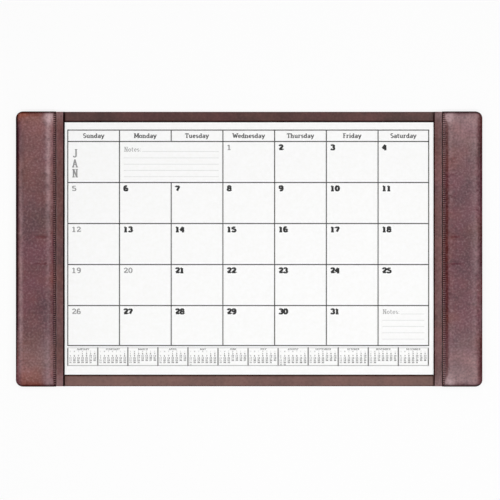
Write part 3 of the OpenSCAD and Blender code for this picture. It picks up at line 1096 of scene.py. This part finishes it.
def slab(x, y, reach=SERIF):
    """A flat serif under or over a stem."""
    return line(x - reach, y, x + reach, y)


def stem(x, low=BASE, high=CAP):
    """A stem with slabs at both ends."""
    return [line(x, low, x, high), slab(x, low), slab(x, high)]


def bowl(x, low, high):
    """A round bow that leaves a stem at one height and comes back to it at another."""
    tall = (high - low) / 2
    turn = max(x + 0.08, RIGHT - tall)
    return [(x, high)] + bow(turn, low + tall, RIGHT - turn, tall, 90, -90) + [(x, low)]


def small_stem(x, high=XTOP):
    """The stem of a small letter, with half a slab at its top and a whole one at its foot."""
    return [line(x, BASE, x, high), line(x - HALF_SERIF, high, x, high), slab(x, BASE)]


def turned(strokes, width):
    """Strokes turned half round in their box."""
    return [[(width - x, 1 - y) for x, y in s] for s in strokes]


def arch(x, far, low=BASE):
    """The shoulder of a small letter, from its stem over to its far leg."""
    middle, reach = (x + far) / 2, (far - x) / 2
    return [(x, HALF - 0.08)] + bow(middle, XTOP - 0.2, reach, 0.16, 150, 0) + [(far, low)]


SIX = [bow(MID, HALF, 0.21, 0.45, 50, 230), bow(MID, 0.30, 0.20, 0.25, 0, 360)]
SMALL_BOWL = bow(0.28, 0.33, 0.18, 0.28, 0, 360)
GLYPHS = {
    "0": (DIGIT_W, [bow(MID, HALF, 0.21, 0.45, 90, 450)]),
    "1": (DIGIT_W, [line(0.28, BASE, 0.28, CAP), line(0.09, 0.78, 0.28, 0.93), slab(0.28, BASE, 0.2)]),
    "2": (DIGIT_W, [bow(0.30, 0.71, 0.19, 0.24, 175, -35) + [(LEFT, 0.12)],
                    line(LEFT - 0.03, 0.09, 0.54, 0.09), line(0.53, 0.09, 0.56, 0.25)]),
    "3": (DIGIT_W, [bow(0.29, 0.73, 0.18, 0.22, 165, -90), bow(0.29, 0.28, 0.22, 0.23, 90, -165)]),
    "4": (DIGIT_W, [line(0.40, CAP, 0.05, 0.31), line(0.05, 0.29, 0.59, 0.29), line(0.42, BASE, 0.42, CAP),
                    slab(0.42, BASE)]),
    "5": (DIGIT_W, [line(0.52, 0.91, 0.15, 0.91), line(0.14, 0.93, 0.12, 0.5),
                    bow(0.29, 0.31, 0.23, 0.26, 130, -160)]),
    "6": (DIGIT_W, SIX),
    "7": (DIGIT_W, [line(0.07, 0.90, 0.56, 0.90), line(0.09, 0.90, 0.07, 0.72),
                    line(0.54, 0.9, 0.24, BASE)]),
    "8": (DIGIT_W, [bow(MID, 0.73, 0.17, 0.22, 0, 360), bow(MID, 0.28, 0.21, 0.23, 0, 360)]),
    "9": (DIGIT_W, turned(SIX, DIGIT_W)),
    "A": (0.66, [line(LEFT, BASE, MID, CAP), line(MID, CAP, 0.55, BASE), line(0.2, 0.34, 0.44, 0.34),
                 slab(LEFT, BASE), slab(0.55, BASE)]),
    "B": (0.64, stem(STEM) + [bowl(STEM, HALF, CAP), bowl(STEM, BASE, HALF)]),
    "C": (0.62, [bow(0.33, HALF, 0.22, 0.45, 45, 315)]),
    "D": (0.64, stem(STEM) + [bowl(STEM, BASE, CAP)]),
    "E": (0.60, stem(STEM) + [line(STEM, CAP, RIGHT, CAP), line(STEM, HALF, 0.42, HALF),
                              line(STEM, BASE, RIGHT, BASE)]),
    "F": (0.58, stem(STEM) + [line(STEM, CAP, RIGHT, CAP), line(STEM, HALF, 0.42, HALF)]),
    "G": (0.66, [bow(0.33, HALF, 0.22, 0.45, 45, 330), line(0.53, 0.1, 0.53, 0.42), slab(0.5, 0.42, 0.12)]),
    "H": (0.70, stem(STEM) + stem(0.55) + [line(STEM, HALF, 0.55, HALF)]),
    "I": (NARROW_W, stem(0.2)),
    "J": (0.56, [[(0.40, CAP)] + bow(0.24, 0.24, 0.16, 0.19, 0, -165), slab(0.40, CAP)]),
    "L": (0.58, stem(STEM) + [line(STEM, BASE, RIGHT, BASE), line(RIGHT, BASE, RIGHT, 0.24)]),
    "M": (WIDE_W, stem(LEFT + 0.03) + stem(0.73) + [line(0.13, CAP, 0.43, 0.2),
                                                    line(0.43, 0.2, 0.73, CAP)]),
    "N": (0.70, stem(STEM) + stem(0.55) + [line(STEM, CAP, 0.55, BASE)]),
    "O": (0.66, [bow(0.33, HALF, 0.23, 0.45, 0, 360)]),
    "P": (0.62, stem(STEM) + [bowl(STEM, 0.45, CAP)]),
    "R": (0.66, stem(STEM) + [bowl(STEM, HALF, CAP), line(0.33, HALF, 0.56, BASE)]),
    "S": (0.60, [bow(MID, 0.72, 0.18, 0.23, 35, 265), bow(MID, 0.27, 0.20, 0.22, 85, -150)]),
    "T": (0.62, [line(MID, BASE, MID, CAP), line(0.06, CAP, 0.56, CAP), slab(MID, BASE),
                 line(0.06, CAP, 0.06, 0.75), line(0.56, CAP, 0.56, 0.75)]),
    "U": (0.68, [[(0.14, CAP)] + bow(0.34, 0.26, 0.2, 0.21, 180, 360) + [(0.54, CAP)],
                 slab(0.14, CAP), slab(0.54, CAP)]),
    "V": (0.64, [line(0.08, CAP, 0.32, BASE), line(0.32, BASE, 0.56, CAP), slab(0.08, CAP),
                 slab(0.56, CAP)]),
    "W": (0.92, [line(0.08, CAP, 0.27, BASE), line(0.27, BASE, 0.46, 0.8), line(0.46, 0.8, 0.65, BASE),
                 line(0.65, BASE, 0.84, CAP), slab(0.08, CAP), slab(0.84, CAP)]),
    "Y": (0.62, [line(0.06, CAP, MID, HALF), line(0.56, CAP, MID, HALF), line(MID, HALF, MID, BASE),
                 slab(0.06, CAP), slab(0.56, CAP), slab(MID, BASE)]),
    "a": (0.58, [bow(0.27, 0.20, 0.16, 0.16, 0, 360), bow(0.28, 0.46, 0.17, 0.16, 150, 0) + [(0.45, 0.1)],
                 line(0.45, 0.07, 0.55, 0.05)]),
    "d": (0.62, [SMALL_BOWL, line(0.46, BASE, 0.46, CAP), line(0.34, CAP, 0.46, CAP),
                 line(0.46, BASE, 0.6, BASE)]),
    "e": (0.56, [bow(0.29, 0.33, 0.19, 0.28, 5, 320), line(0.1, 0.35, 0.48, 0.35)]),
    "h": (0.66, small_stem(0.15, CAP) + [arch(0.15, 0.48), slab(0.48, BASE)]),
    "i": (0.34, small_stem(0.17) + [line(0.17, 0.8, 0.17, 0.95)]),
    "n": (0.66, small_stem(0.15) + [arch(0.15, 0.48), slab(0.48, BASE)]),
    "o": (0.58, [bow(0.29, 0.33, 0.20, 0.28, 0, 360)]),
    "r": (0.48, small_stem(0.15) + [bow(0.32, 0.42, 0.17, 0.2, 170, 45)]),
    "s": (0.48, [bow(0.24, 0.47, 0.13, 0.14, 35, 265), bow(0.24, 0.19, 0.15, 0.14, 85, -150)]),
    "t": (0.42, [[(0.17, 0.88)] + bow(0.29, 0.18, 0.12, 0.13, 180, 300), line(0.03, XTOP, 0.36, XTOP)]),
    "u": (0.66, [[(0.15, XTOP)] + bow(0.30, 0.24, 0.15, 0.18, 180, 330), line(0.48, BASE, 0.48, XTOP),
                 line(0.03, XTOP, 0.15, XTOP), line(0.36, XTOP, 0.48, XTOP), line(0.48, BASE, 0.6, BASE)]),
    "y": (0.60, [line(0.09, XTOP, 0.30, BASE), line(0.51, XTOP, 0.20, -0.24), slab(0.09, XTOP, 0.1),
                 slab(0.50, XTOP, 0.1), line(0.20, -0.24, 0.08, -0.22)]),
    ":": (0.26, [line(0.13, 0.08, 0.13, 0.18), line(0.13, 0.5, 0.13, 0.6)]),
}

# Pens as the width of upright and of level strokes, in cap heights
HEAVY = (0.44, 0.27)
BOLD = (0.24, 0.15)
SMALL = (0.32, 0.22)
TALL = (0.18, 0.11)
FINE = (0.16, 0.11)
INK_T = 0.012 * MM
INK_SINK = 0.006 * MM
# Strokes that cross lie on slightly different levels
STROKE_STEP, STROKE_LEVELS = 0.0004 * MM, 7
# Places of words about a point, for Ink.write
AT_START, CENTRED = 0.0, 0.5


class Ink:
    """One ink's strokes on a sheet, as thin closed ribbons."""

    def __init__(self, level):
        self.level = level
        self.points = []
        self.faces = []
        self.count = 0

    def ribbon(self, left, right):
        """A closed ribbon between two rows of points."""
        first, rows = len(self.points), len(left)
        top = self.level + INK_T + STROKE_STEP * (self.count % STROKE_LEVELS)
        for a, b in zip(left, right):
            self.points += [(*a, top), (*b, top), (*b, self.level - INK_SINK), (*a, self.level - INK_SINK)]
        self.faces += grid_faces(rows, 4, first, ring=True)
        self.faces.append((first, first + 1, first + 2, first + 3))
        last = first + 4 * (rows - 1)
        self.faces.append((last, last + 1, last + 2, last + 3))
        self.count += 1

    def rule(self, x0, y0, x1, y1, width):
        """A straight printed rule."""
        run = Vector((x1 - x0, y1 - y0)).normalized() * width / 2
        across = Vector((-run.y, run.x))
        ends = [Vector((x0, y0)) - run, Vector((x1, y1)) + run]
        self.ribbon([tuple(e + across) for e in ends], [tuple(e - across) for e in ends])

    def stroke(self, places, pen):
        """A pen stroke that is broad where it runs upright and thin where it runs level."""
        p = np.array(places, float)
        run = np.gradient(p, axis=0)
        run /= np.linalg.norm(run, axis=1, keepdims=True)
        half = (pen[1] + (pen[0] - pen[1]) * np.abs(run[:, 1:])) / 2
        across = np.stack([-run[:, 1], run[:, 0]], axis=1) * half
        self.ribbon((p + across).tolist(), (p - across).tolist())

    def write(self, words, x, y, height, pen, place=AT_START, squeeze=1.0):
        """Words with their baseline at y, which start at x or are centred on it."""
        width = sum(GLYPHS[c][0] for c in words) * height * squeeze
        at = x - width * place
        for c in words:
            wide, strokes = GLYPHS[c]
            for s in strokes:
                self.stroke([(at + sx * height * squeeze, y + sy * height) for sx, sy in s],
                            (pen[0] * height, pen[1] * height))
            at += wide * height * squeeze


# Calendar print

GRID_LEFT, GRID_RIGHT, GRID_TOP, GRID_BOTTOM = -336.5 * MM, 333.1 * MM, 220.7 * MM, -179.1 * MM
COLUMN_W, HEADER_H, ROW_H = 95.95 * MM, 21.2 * MM, 76.1 * MM
DAYS = ("Sunday", "Monday", "Tuesday", "Wednesday", "Thursday", "Friday", "Saturday")
MONTHS = ("JANUARY", "FEBRUARY", "MARCH", "APRIL", "MAY", "JUNE", "JULY", "AUGUST", "SEPTEMBER",
          "OCTOBER", "NOVEMBER", "DECEMBER")
MONTH_DAYS = (31, 29, 31, 30, 31, 30, 31, 31, 30, 31, 30, 31)
WEEK = len(DAYS)
WEEKS = 5
YEAR_START = DAYS.index("Wednesday")
# Days that are printed grey like the Sundays, by month
GREY_DAYS = {0: (1, 20)}
RULE_W, NOTE_RULE_W = 2.0 * MM, 0.8 * MM
DAY_NAME_H, DAY_NAME_DROP, DAY_NAME_WIDE = 8.6 * MM, 14.6 * MM, 1.25
NUMBER_H, NUMBER_IN, NUMBER_DROP, NUMBER_WIDE = 9.8 * MM, 7.6 * MM, 15.7 * MM, 1.4
TAB_H, TAB_PITCH, TAB_IN, TAB_DROP = 15.4 * MM, 18.5 * MM, 13.5 * MM, 29.6 * MM
NOTE_H, NOTE_IN, NOTE_PITCH, NOTE_RULES, NOTE_WIDE = 8.8 * MM, 8.4 * MM, 11.65 * MM, 5, 1.2
FIRST_NOTE_DROP, LAST_NOTE_DROP = 18.8 * MM, 15.6 * MM
NOTE_WORD_W = 34 * MM
STRIP_TOP, STRIP_H, STRIP_BOX_W, STRIP_RULE_W = -183.3 * MM, 32.9 * MM, 55.75 * MM, 1.5 * MM
MINI_NAME_H, MINI_NAME_DROP, MINI_NAME_WIDE = 3.0 * MM, 4.1 * MM, 1.7
MINI_H, MINI_IN, MINI_PITCH, MINI_WIDE = 2.7 * MM, 4.8 * MM, 7.5 * MM, 1.4
MINI_DAY_DROP, MINI_DROP, MINI_ROW = 8.0 * MM, 12.0 * MM, 4.08 * MM
INKS = {"black": "060606", "dark": "484848", "rule": "383838", "grey": "8e8e8e", "pale": "a4a4a4",
        "faint": "d0d0d0"}


def first_day(month):
    """The weekday on which a month of this leap year begins."""
    return (YEAR_START + sum(MONTH_DAYS[:month])) % WEEK


def column_x(c):
    """The place of a rule between columns; the last column is a little narrower."""
    return min(GRID_LEFT + c * COLUMN_W, GRID_RIGHT)


def row_y(r):
    """The place of a rule between weeks; the last week is a little lower."""
    return max(GRID_TOP - HEADER_H - r * ROW_H, GRID_BOTTOM)


def print_header(inks):
    """The weekday names over the grid."""
    inks["rule"].rule(GRID_LEFT, GRID_TOP, GRID_RIGHT, GRID_TOP, RULE_W)
    for c, day in enumerate(DAYS):
        middle = (column_x(c) + column_x(c + 1)) / 2
        inks["dark"].write(day, middle, GRID_TOP - DAY_NAME_DROP, DAY_NAME_H, BOLD, CENTRED, DAY_NAME_WIDE)


def print_rules(inks, first):
    """The rules of the grid, open between the empty cells that hold notes in the first week."""
    for r in range(WEEKS + 1):
        inks["rule"].rule(GRID_LEFT, row_y(r), GRID_RIGHT, row_y(r), RULE_W)
    for c in range(WEEK + 1):
        x = column_x(c)
        inks["rule"].rule(x, GRID_TOP, x, row_y(0), RULE_W)
        inks["rule"].rule(x, row_y(1 if 1 < c < first else 0), x, GRID_BOTTOM, RULE_W)


def print_notes(inks, row, first, last, drop):
    """A block of note lines over the cells from first to last of a week, at a drop under its rule."""
    left = column_x(first) + NOTE_IN
    right = column_x(last + 1) - NOTE_IN
    y = row_y(row) - drop
    inks["pale"].write("Notes:", left, y, NOTE_H, FINE, AT_START, NOTE_WIDE)
    for i in range(NOTE_RULES):
        start = left + NOTE_WORD_W if i == 0 else left
        inks["faint"].rule(start, y - i * NOTE_PITCH, right, y - i * NOTE_PITCH, NOTE_RULE_W)


def print_days(inks, month):
    """The month's numbers, its name down the first cell, and notes in the cells that are empty."""
    first, days = first_day(month), MONTH_DAYS[month]
    for d in range(days):
        row, column = divmod(first + d, WEEK)
        quiet = column == 0 or d + 1 in GREY_DAYS.get(month, ())
        ink, pen = ("grey", BOLD) if quiet else ("black", HEAVY)
        x, y = column_x(column) + NUMBER_IN, row_y(row) - NUMBER_DROP
        inks[ink].write(str(d + 1), x, y, NUMBER_H, pen, AT_START, NUMBER_WIDE)
    for i, letter in enumerate(MONTHS[month][:3]):
        y = row_y(0) - TAB_DROP - i * TAB_PITCH
        inks["grey"].write(letter, GRID_LEFT + TAB_IN, y, TAB_H, TALL, CENTRED)
    if first > 1:
        print_notes(inks, 0, 1, first - 1, FIRST_NOTE_DROP)
    last_row, last_column = divmod(first + days - 1, WEEK)
    if last_row == WEEKS - 1 and last_column < WEEK - 1:
        print_notes(inks, last_row, last_column + 1, WEEK - 1, LAST_NOTE_DROP)


def print_year(inks):
    """The strip of twelve small months."""
    bottom = STRIP_TOP - STRIP_H
    right = GRID_LEFT + len(MONTHS) * STRIP_BOX_W
    inks["faint"].rule(GRID_LEFT, STRIP_TOP, right, STRIP_TOP, STRIP_RULE_W)
    inks["pale"].rule(GRID_LEFT, bottom, right, bottom, STRIP_RULE_W)
    for m in range(len(MONTHS) + 1):
        x = GRID_LEFT + m * STRIP_BOX_W
        inks["rule"].rule(x, STRIP_TOP, x, bottom, RULE_W)
    for m, name in enumerate(MONTHS):
        left = GRID_LEFT + m * STRIP_BOX_W
        middle, y = left + STRIP_BOX_W / 2, STRIP_TOP - MINI_NAME_DROP
        inks["dark"].write(name, middle, y, MINI_NAME_H, BOLD, CENTRED, MINI_NAME_WIDE)
        for c, day in enumerate(DAYS):
            x = left + MINI_IN + c * MINI_PITCH
            inks["pale"].write(day[0], x, STRIP_TOP - MINI_DAY_DROP, MINI_H, FINE, CENTRED)
        for d in range(MONTH_DAYS[m]):
            row, column = divmod(first_day(m) + d, WEEK)
            x = left + MINI_IN + column * MINI_PITCH
            y = STRIP_TOP - MINI_DROP - row * MINI_ROW
            inks["dark" if column else "pale"].write(str(d + 1), x, y, MINI_H, SMALL, CENTRED, MINI_WIDE)


def print_sheet(month, node, body):
    """Prints one month on its sheet."""
    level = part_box(node)[1].z
    inks = {name: Ink(level) for name in INKS}
    print_header(inks)
    print_rules(inks, first_day(month))
    print_days(inks, month)
    print_year(inks)
    for name, ink in inks.items():
        made = piece(MONTHS[month].lower() + "_print_" + name, ink.points, ink.faces, "ink_" + name, body)


# Building everything

for ink_name, ink_code in INKS.items():
    FINISHES["ink_" + ink_name] = ink_finish("ink_" + ink_name, ink_code)

CAD_FINISHES = {
    "core_board": "hardboard",
    "calendar_backing": "backing_card",
    "calendar_gum": "gum",
}
for node_name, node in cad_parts.items():
    if node_name.endswith("_sheet"):
        finish_name = "paper"
    elif node_name.endswith(("_spacer", "_rail_board", "_stiffener")):
        finish_name = "greyboard"
    else:
        finish_name = CAD_FINISHES.get(node_name)
    if finish_name:
        node.data.materials.clear()
        node.data.materials.append(FINISHES[finish_name])

# Places in the noise for each side's rail and flap
RAIL_SEEDS = {"left": 3.7, "right": 8.7}
FLAP_SEEDS = {"left": 1.3, "right": 5.3}
dice = random.Random(STITCH_SEED)
for side_name in SIDES:
    rail_cover(side_name, RAIL_SEEDS[side_name])
    seam_thread(side_name, dice)
    flap(side_name, FLAP_SEEDS[side_name])
base_leather()
felt_backing()
print_sheet(0, "january_sheet", "top_sheet")
print_sheet(1, "february_sheet", "calendar")


# Stage, light and camera

FLOOR_HALF = 40.0
FLOOR_DROP = 0.3 * MM
FLOOR_TONES = ("f6f6f6", "f8f8f8")
FLOOR_CLOUD_L = 0.4
FLOOR_GLOW = 0.82
CAMERA_H = 2.2
PHOTO_W = 0.9277
CAMERA_AT = (1.6 * MM, -1.8 * MM)
SENSOR = 36


def floor_finish():
    """White floor that shows as white, takes a soft shadow, and lets light and looks through from below."""
    g = Graph("floor")
    g.nodes.remove(g.shader)
    g.shader = None
    cloud = g.tones(g.noise(FLOOR_CLOUD_L), *FLOOR_TONES)
    paint = g.add("ShaderNodeBsdfDiffuse", {"Color": cloud}).outputs[0]
    glow = g.add("ShaderNodeEmission").outputs[0]
    path = g.add("ShaderNodeLightPath").outputs
    seen = g.math("MAXIMUM", path["Is Camera Ray"], path["Is Glossy Ray"])
    seen = g.math("MAXIMUM", seen, path["Is Transmission Ray"])
    share = g.math("MULTIPLY", seen, FLOOR_GLOW)
    lit = g.add("ShaderNodeMixShader", {0: share, 1: paint, 2: glow}).outputs[0]
    clear = g.add("ShaderNodeBsdfTransparent").outputs[0]
    below = g.add("ShaderNodeNewGeometry").outputs["Backfacing"]
    below = g.math("MAXIMUM", below, path["Is Shadow Ray"])
    whole = g.add("ShaderNodeMixShader", {0: below, 1: lit, 2: clear}).outputs[0]
    g.links.new(whole, g.nodes["Material Output"].inputs["Surface"])
    return g.material


def floor():
    signs = ((-1, -1), (1, -1), (1, 1), (-1, 1))
    corners = [(x * FLOOR_HALF, y * FLOOR_HALF, -FLOOR_DROP) for x, y in signs]
    mesh = bpy.data.meshes.new("floor")
    mesh.from_pydata(corners, [], [(0, 1, 2, 3)])
    mesh.materials.append(floor_finish())
    made = bpy.data.objects.new("floor", mesh)
    bpy.context.scene.collection.objects.link(made)


def softbox(name, place, size, level):
    """A rectangular soft light that faces the pad and is as bright as the given level of white."""
    lamp = bpy.data.lights.new(name, "AREA")
    lamp.shape = "RECTANGLE"
    lamp.size, lamp.size_y = size
    lamp.energy = level * math.pi * size[0] * size[1]
    made = bpy.data.objects.new(name, lamp)
    made.location = place
    made.visible_camera = False
    made.rotation_euler = (-Vector(place)).to_track_quat("-Z", "Y").to_euler()
    bpy.context.scene.collection.objects.link(made)


# Soft lights: where they are, how large and how bright
LIGHTS = {
    "front_light": ((0, -0.75, 2.3), (2.4, 0.6), 3.8),
    "back_left_light": ((-0.95, 0.65, 2.3), (0.5, 0.5), 3.5),
    "back_right_light": ((0.95, 0.65, 2.3), (0.5, 0.5), 4.5),
    "left_light": ((-1.35, 0, 2.1), (0.8, 1.8), 1.7),
    "right_light": ((1.35, 0, 2.1), (0.8, 1.8), 2.9),
    "top_light": ((0, 0.05, 2.6), (1.0, 0.5), 2.8),
    "under_light": ((0, 0, -1.8), (1.4, 1.4), 3.0),
}
# Levels of the sky by the height of the direction: none below, pale behind the floor's far edge, then soft
SKY = ((-0.1, 0.0), (-0.02, 0.85), (0.15, 0.85), (0.25, 0.12), (1.0, 0.45))


def sky():
    """A soft sky."""
    world = bpy.data.worlds.new("studio")
    bpy.context.scene.world = world
    world.use_nodes = True
    nodes, links = world.node_tree.nodes, world.node_tree.links
    up = nodes.new("ShaderNodeSeparateXYZ")
    links.new(nodes.new("ShaderNodeTexCoord").outputs["Generated"], up.inputs[0])
    share = nodes.new("ShaderNodeMapRange")
    share.inputs["From Min"].default_value = -1
    links.new(up.outputs["Z"], share.inputs["Value"])
    ramp = nodes.new("ShaderNodeValToRGB")
    elements = ramp.color_ramp.elements
    while len(elements) < len(SKY):
        elements.new(1.0)
    for element, (height, level) in zip(elements, SKY):
        element.position = (height + 1) / 2
        element.color = (level, level, level, 1)
    links.new(share.outputs["Result"], ramp.inputs["Fac"])
    links.new(ramp.outputs["Color"], nodes["Background"].inputs["Color"])


def camera():
    lens = bpy.data.cameras.new("camera")
    lens.sensor_width = SENSOR
    lens.lens = SENSOR * CAMERA_H / PHOTO_W
    made = bpy.data.objects.new("camera", lens)
    made.location = (*CAMERA_AT, CAMERA_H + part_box("january_sheet")[1].z)
    bpy.context.scene.collection.objects.link(made)
    bpy.context.scene.camera = made


floor()
sky()
for light_name, light in LIGHTS.items():
    softbox(light_name, *light)
camera()
bpy.context.scene.view_settings.view_transform = "Standard"
